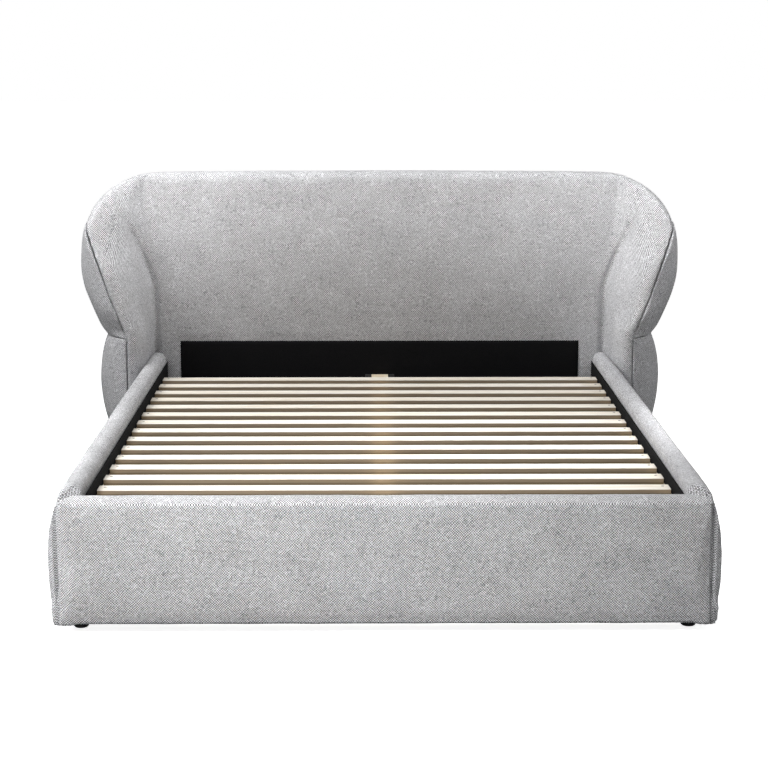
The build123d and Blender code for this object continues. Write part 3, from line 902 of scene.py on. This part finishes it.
@dataclass(frozen=True)
class Crease:
    """How the cover is drawn in between the headboard's middle and each wing."""

    wall: float = 0.835
    slope: float = 0.36
    slope_from: float = 0.62
    wall_soft: float = 14 * MM
    sample: Span = (0.735, 0.76)
    sample_depth: float = 5 * MM
    levels: tuple[float, float, float] = (0.0, 1.04, 0.02)
    level_half: float = 0.03
    inner: Span = (0.75, 0.78)
    fade: Span = (0.68, 0.92)
    deepest: float = 0.12
    pull: float = 0.85
    fold_place: float = 22 * MM
    fold_width: float = 10 * MM
    fold_depth: float = 14 * MM
    ease_rise: Span = (0.74, 0.78)
    ease_fall: Span = (0.90, 0.94)
    ease_rounds: int = 2


@dataclass
class HeadboardPad(Pad):
    """The headboard's middle and both wing fronts under one cover."""

    face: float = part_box("headboard_lining")[0][1]
    edge: TopEdge = TopEdge()
    crease: Crease = Crease()
    seam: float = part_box("wing_lower_pad_right")[0][0]
    seam_gap: Span = (-0.05, -0.015)
    flare: float = math.tan(math.radians(20.8))
    waist: float = 0.465
    waist_reach: Span = (0.033, 0.11)
    waist_inner: Span = (0.74, 0.80)
    waist_depth: float = 0.03
    waist_rounds: int = 60
    corner_levels: tuple[Span, Span] = ((0.76, 0.88), (0.965, 0.995))
    corner_sides: tuple[Span, Span] = ((0.68, 0.73), (0.80, 0.86))
    corner_depth: float = 0.02
    corner_rounds: int = 80

    def shape(self) -> None:
        """Level the top edge, draw in the creases and smooth the waists and the upper corners."""
        self.level_top()
        self.draw_in()
        self.ease_waist()
        self.smooth_corners()

    def ease_waist(self) -> None:
        """Ease the fold inside the wings at the waist."""
        points = points_of(self.piece)
        across = np.abs(points[:, 0])
        near = 1.0 - soft_step(np.abs(points[:, 2] - self.waist), *self.waist_reach)
        ahead = soft_step(-points[:, 1], -self.face, -self.face + self.waist_depth)
        inside = soft_step(across, *self.waist_inner) * ahead
        seam = self.seam + self.flare * np.maximum(points[:, 2] - self.waist, 0.0)
        inside *= 1.0 - soft_step(across - seam, *self.seam_gap)
        relax(self.piece, self.waist_rounds, near * inside)

    def smooth_corners(self) -> None:
        """Smooth the upper corners, where the middle runs into the wings without a crease."""
        points = points_of(self.piece)
        high = band(points[:, 2], *self.corner_levels)
        beside = band(np.abs(points[:, 0]), *self.corner_sides)
        ahead = soft_step(-points[:, 1], -self.face - self.corner_depth, -self.face)
        relax(self.piece, self.corner_rounds, high * beside * ahead)

    def draw_in(self) -> None:
        """Turn the round corner between the middle and each wing into a tight crease that fades upwards."""
        crease = self.crease
        points = points_of(self.piece)
        across = np.abs(points[:, 0])
        wall = crease.wall + crease.slope * np.maximum(points[:, 2] - crease.slope_from, 0.0)
        inner = (across > crease.sample[0]) & (across < crease.sample[1])
        inner &= points[:, 1] < self.face + crease.sample_depth
        levels = np.arange(*crease.levels)
        rows = [inner & (np.abs(points[:, 2] - z) < crease.level_half) for z in levels]
        front = np.array([points[row, 1].min(initial=self.face) for row in rows])
        depth = np.interp(points[:, 2], levels, front) - points[:, 1]
        fade = 1.0 - soft_step(points[:, 2], *crease.fade)
        share = soft_step(wall - across, 0.0, crease.wall_soft) * soft_step(across, *crease.inner)
        share *= fade * (depth > 0.0) * (depth < crease.deepest)
        fold = np.exp(-(((across - wall + crease.fold_place) / crease.fold_width) ** 2))
        fold *= np.abs(depth) < crease.deepest
        points[:, 1] += crease.pull * share * depth + crease.fold_depth * fold * fade
        move_points(self.piece, points)
        relax(self.piece, crease.ease_rounds, band(across, crease.ease_rise, crease.ease_fall))

    def level_top(self) -> None:
        """Bring the top edge of the middle and the wings into one slow curve."""
        edge = self.edge
        points = points_of(self.piece)
        across = np.abs(points[:, 0])
        starts = np.arange(0.0, edge.end, edge.step)
        height = np.array([points[(across >= a) & (across < a + edge.step), 2].max() for a in starts])
        height[:-1] = np.minimum(height[:-1], edge.top)
        middle = starts < edge.crown_half
        crowned = height + edge.rise - edge.crown * (starts / edge.crown_half) ** 2 * middle
        margin = edge.margin
        wide = np.concatenate([crowned[:margin][::-1], crowned, np.full(margin, crowned[-1])])
        window = np.hanning(edge.window)
        slow = np.convolve(wide, window / window.sum(), "same")[margin:-margin]
        shift = np.interp(across, starts + edge.step / 2, slow - height)
        high = soft_step(points[:, 2], *[edge.top + away for away in edge.high])
        shift *= high * (1.0 - soft_step(across, *edge.beside))
        points[:, 2] += shift
        move_points(self.piece, points)


@dataclass
class Upholstery:
    """All padded pieces of the bed."""

    pads: list[Pad] = field(default_factory=list)

    def build(self) -> None:
        """Build every pad."""
        wing_boards = tuple(f"wing_{level}_board_{side}" for level in ("lower", "upper") for side in SIDES)
        planks = tuple(f"headboard_side_plank_{side}" for side in SIDES)
        self.pads.append(HeadboardPad(
            "headboard_cover", ("headboard_cushion", "wing_cushion_left", "wing_cushion_right"),
            ("headboard_lining", "headboard_front_board", "headboard_back_cover", "headboard_top_rail",
             *planks, *wing_boards),
            voxel=8 * MM, seed=3.1))
        for number, side in enumerate(SIDES):
            self.pads.append(RailPad(f"rail_cover_{side}", (f"side_rail_pad_{side}",),
                                     (f"side_rail_board_{side}",), voxel=5 * MM, rounds=2, seed=5.0 + number))
            for level in ("lower", "upper"):
                self.pads.append(Pad(f"wing_{level}_cover_{side}", (f"wing_{level}_pad_{side}",),
                                     (f"wing_{level}_board_{side}", f"headboard_side_plank_{side}"),
                                     voxel=5 * MM, rounds=2, seed=9.0 + number,
                                     lap=tuple((x * (2 * number - 1), z) for x, z in LAPS[level])))
        self.pads.append(FootPad("foot_cover", ("foot_rail_pad",), ("foot_rail_board",),
                                 voxel=4 * MM, rounds=2, seed=7.7))
        material = UPHOLSTERY.material()
        for pad in self.pads:
            pad.build()
            pad.dress(material)
            log.info("padded %s, %d faces", pad.name, len(pad.piece.data.polygons))


@dataclass
class ClothPanel:
    """A thin cloth stretched over a flat board, as a grid a little proud of its CAD node."""

    node: str
    normal: Place
    slot: Slot
    step: float = 12 * MM
    proud: float = 0.8 * MM
    least: float = 0.3 * MM
    thickness: float = 0.6 * MM
    wave: float = 0.5 * MM
    wave_size: float = 0.12
    wave_from_edge: float = 0.05
    seed: float = 4.0

    def build(self, material: Material) -> Object:
        """Build and dress the panel.

        Args:
            material: what the cloth is made of.

        Returns:
            The panel.
        """
        low, high = (np.array(corner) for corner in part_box(self.node))
        normal = np.array(self.normal)
        flat = [axis for axis in range(3) if normal[axis] == 0.0]
        through = next(axis for axis in range(3) if normal[axis] != 0.0)
        front = high[through] if normal[through] > 0 else low[through]
        counts = [max(int((high[a] - low[a]) / self.step), 2) + 1 for a in flat]
        runs = [np.linspace(low[a], high[a], n) for a, n in zip(flat, counts)]
        points = np.zeros((counts[0], counts[1], 3))
        points[..., flat[0]] = runs[0][:, None]
        points[..., flat[1]] = runs[1][None, :]
        points[..., through] = front
        inset = [np.minimum(run - run[0], run[-1] - run) for run in runs]
        edge = np.minimum(inset[0][:, None], inset[1][None, :])
        points = points.reshape(-1, 3)
        wave = self.wave * uneven(points, self.wave_size, self.seed + through)
        lift = self.proud + wave * soft_step(edge.ravel(), 0.0, self.wave_from_edge)
        points += normal * np.maximum(lift, self.least)[:, None]
        index = np.arange(len(points)).reshape(counts)
        corners = (index[:-1, :-1], index[1:, :-1], index[1:, 1:], index[:-1, 1:])
        faces = np.stack(corners, axis=-1).reshape(-1, 4).tolist()
        name = f"{self.node}_cloth"
        panel = mesh_object(name, points.tolist(), faces)
        sheet = panel.modifiers.new("thickness", "SOLIDIFY")
        sheet.thickness = self.thickness
        sheet.offset = 0.0
        baked_mesh(panel)
        cover(panel, material)
        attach(panel, BED)
        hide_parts(self.node)
        log.info("stretched %s", name)
        return panel


@dataclass
class SlatBase:
    """Slats, beam, legs, boards and fittings, which keep their CAD shapes."""

    finishes: dict[str, WoodFinish | HardFinish] = field(default_factory=lambda: {
        "slat_ledge": BEAM_PINE, "slat_screws": DARK_SCREW, "slat_": SLAT_PINE, "centre_beam": BEAM_PINE,
        "centre_leg": LEG_PINE, "beam_hangers": POWDER_COAT, "leveller_pad": MOULDED_BLACK,
        "leveller_stem": ZINC_PLATE, "glide_feet": MOULDED_BLACK, "frame_bolts": ZINC_PLATE,
        "head_bracket": POWDER_COAT, "foot_bracket": POWDER_COAT, "headboard_front_board": BOARD_PLY,
        "side_rail_board": BOARD_PLY, "foot_rail_board": BOARD_PLY, "wing_lower_board": BOARD_PLY,
        "wing_upper_board": BOARD_PLY, "headboard_side_plank": FRAME_TIMBER,
        "headboard_bottom_rail": FRAME_TIMBER, "headboard_middle_rail": FRAME_TIMBER,
        "headboard_top_rail": FRAME_TIMBER,
    })

    def dress(self) -> None:
        """Give each rigid node the finish of its kind."""
        made: dict[str, Material] = {}
        for name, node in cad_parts.items():
            kind = next((k for k in self.finishes if name.startswith(k)), None)
            if kind is None or node.hide_render:
                continue
            finish = self.finishes[kind]
            if finish.name not in made:
                made[finish.name] = finish.material()
            node.data.materials.clear()
            node.data.materials.append(made[finish.name])
            log.info("finished %s as %s", name, finish.name)


@dataclass(frozen=True)
class Lamp:
    """A soft lamp: where it hangs, what it points at, its size, its power and the angle of its beam."""

    name: str
    place: Place
    aim: Place
    size: Span
    watts: float
    spread_deg: float = 180.0

    def hang(self) -> None:
        """Hang the lamp in the scene."""
        data = bpy.data.lights.new(self.name, "AREA")
        data.shape = "RECTANGLE"
        data.size, data.size_y = self.size
        data.energy = self.watts
        data.spread = math.radians(self.spread_deg)
        lamp = bpy.data.objects.new(self.name, data)
        lamp.location = self.place
        lamp.rotation_euler = (Vector(self.aim) - Vector(self.place)).to_track_quat("-Z", "Y").to_euler()
        bpy.context.scene.collection.objects.link(lamp)


LAMPS = (
    Lamp("head_lamp", (0.0, 0.8, 2.3), (0.0, 1.0, 0.9), (2.4, 0.5), 14.0),
    Lamp("brow_lamp", (0.0, -0.4, 1.7), (0.0, 1.02, 1.0), (2.6, 0.3), 2.4, 40),
    Lamp("over_lamp", (0.0, 0.1, 3.2), (0.0, 0.1, 0.0), (3.0, 2.4), 7.5),
    Lamp("left_lamp", (-1.9, 0.2, 2.0), (0.9, 0.8, 0.6), (1.0, 1.0), 35.0),
    Lamp("left_spot", (-1.0, -1.2, 2.2), (0.98, 0.85, 0.75), (0.6, 0.6), 1.0, 24),
    Lamp("right_lamp", (2.6, 0.3, 1.6), (1.0, 0.9, 0.6), (1.0, 1.0), 16.0),
    Lamp("wing_spot", (1.6, -0.6, 2.2), (-0.95, 0.8, 0.88), (0.6, 0.6), 0.6, 22),
    Lamp("rail_lamp", (1.5, -0.3, 2.4), (0.80, -0.3, 0.36), (0.4, 2.0), 4.9, 35),
    Lamp("rail_lamp_left", (-1.5, -0.3, 2.4), (-0.80, -0.3, 0.36), (0.4, 2.0), 1.5, 35),
    Lamp("foot_lamp", (-0.9, -2.6, 2.2), (-0.15, -1.15, 0.15), (2.2, 0.6), 11.5, 58),
    Lamp("foot_wide", (-1.0, -2.6, 2.2), (-0.25, -1.15, 0.15), (3.6, 0.6), 4.1, 60),
    Lamp("corner_spot_left", (-3.0, -2.0, 1.2), (-0.84, -1.0, 0.22), (0.6, 0.6), 0.9, 26),
    Lamp("corner_spot_right", (3.0, -2.0, 1.2), (0.84, -1.0, 0.22), (0.6, 0.6), 0.3, 26),
    Lamp("back_lamp", (0.0, 3.4, 0.7), (0.0, 1.1, 0.5), (2.4, 0.8), 6.0, 60),
)


@dataclass
class Studio:
    """White floor, soft lamps and the camera."""

    eye: Place = (-0.0449, -5.6545, 1.4968)
    down_deg: float = 10.554
    right_deg: float = 0.520
    lens: float = 86.835
    sensor: float = 36.0
    floor_half: float = 40.0
    footprint: Span = (0.86, 1.11)
    floor_glow: Span = (0.88, 1.0)
    floor_fade: float = 0.25
    floor_bounce: Colour = (0.30, 0.30, 0.30)
    floor_seen: Colour = (0.80, 0.80, 0.80)
    floor_rough: float = 0.95
    world_light: Span = (0.01, 1.0)

    def camera(self) -> None:
        """Stand the camera where the photo was taken."""
        data = bpy.data.cameras.new("photo_camera")
        data.lens = self.lens
        data.sensor_width = self.sensor
        camera = bpy.data.objects.new("photo_camera", data)
        camera.location = self.eye
        camera.rotation_euler = (math.radians(90.0 - self.down_deg), 0.0, -math.radians(self.right_deg))
        bpy.context.scene.collection.objects.link(camera)
        bpy.context.scene.camera = camera

    def floor(self) -> None:
        """Lay the pale floor."""
        half = self.floor_half
        floor = mesh_object("floor", [(-half, -half, 0), (half, -half, 0), (half, half, 0), (-half, half, 0)],
                            [[0, 1, 2, 3]])
        surface = Surface("floor_paint")
        nodes = surface.nodes
        ray = nodes.put("ShaderNodeLightPath").outputs["Is Camera Ray"]
        place = nodes.put("ShaderNodeSeparateXYZ")
        nodes.feed(place.inputs[0], surface.place)
        from_middle = [nodes.math("ABSOLUTE", place.outputs[axis]) for axis in range(2)]
        away = [nodes.math("MAXIMUM", nodes.math("SUBTRACT", part, edge), 0.0)
                for part, edge in zip(from_middle, self.footprint)]
        reach = nodes.math("SQRT", nodes.math("ADD", *[nodes.math("MULTIPLY", d, d) for d in away]))
        glow = nodes.spread(reach, 0.0, self.floor_fade, self.floor_glow)
        surface.set(Base_Color=nodes.blend(ray, self.floor_bounce, self.floor_seen),
                    Roughness=self.floor_rough, Specular_IOR_Level=0.0, Emission_Color=(1.0, 1.0, 1.0),
                    Emission_Strength=nodes.math("MULTIPLY", ray, glow))
        floor.data.materials.append(surface.material)

    def world(self) -> None:
        """White backdrop for the eye, gentle light for the rest."""
        world = bpy.data.worlds.new("studio")
        world.use_nodes = True
        nodes = Nodes(world.node_tree)
        shade = world.node_tree.nodes["Background"]
        ray = nodes.put("ShaderNodeLightPath")
        seen = nodes.math("MAXIMUM", ray.outputs["Is Camera Ray"], ray.outputs["Is Glossy Ray"])
        seen = nodes.math("MAXIMUM", seen, ray.outputs["Is Transmission Ray"])
        nodes.feed(shade.inputs["Color"], (1.0, 1.0, 1.0))
        nodes.feed(shade.inputs["Strength"], nodes.spread(seen, 0.0, 1.0, self.world_light))
        bpy.context.scene.world = world

    def build(self) -> None:
        """Set up the whole studio."""
        self.camera()
        self.floor()
        self.world()
        for lamp in LAMPS:
            lamp.hang()
        bpy.context.scene.view_settings.view_transform = "Standard"


LINING_PANELS: dict[str, Place] = {
    "headboard_lining": (0.0, -1.0, 0.0),
    "foot_rail_lining": (0.0, 1.0, 0.0),
    "side_rail_lining_left": (1.0, 0.0, 0.0),
    "side_rail_lining_right": (-1.0, 0.0, 0.0),
}


def main() -> None:
    """Build the studio, the upholstery, the linings and the rigid pieces in order."""
    logging.basicConfig(level=logging.INFO, format="%(name)s: %(message)s")
    Studio().build()
    Upholstery().build()
    lining = LINING.material()
    for node, normal in LINING_PANELS.items():
        ClothPanel(node, normal, Slot.LINING).build(lining)
    fabric = bpy.data.materials[UPHOLSTERY.name]
    ClothPanel("headboard_back_cover", (0.0, 1.0, 0.0), Slot.FABRIC, wave=0.9 * MM).build(fabric)
    SlatBase().dress()


if __name__ == "__main__":
    main()
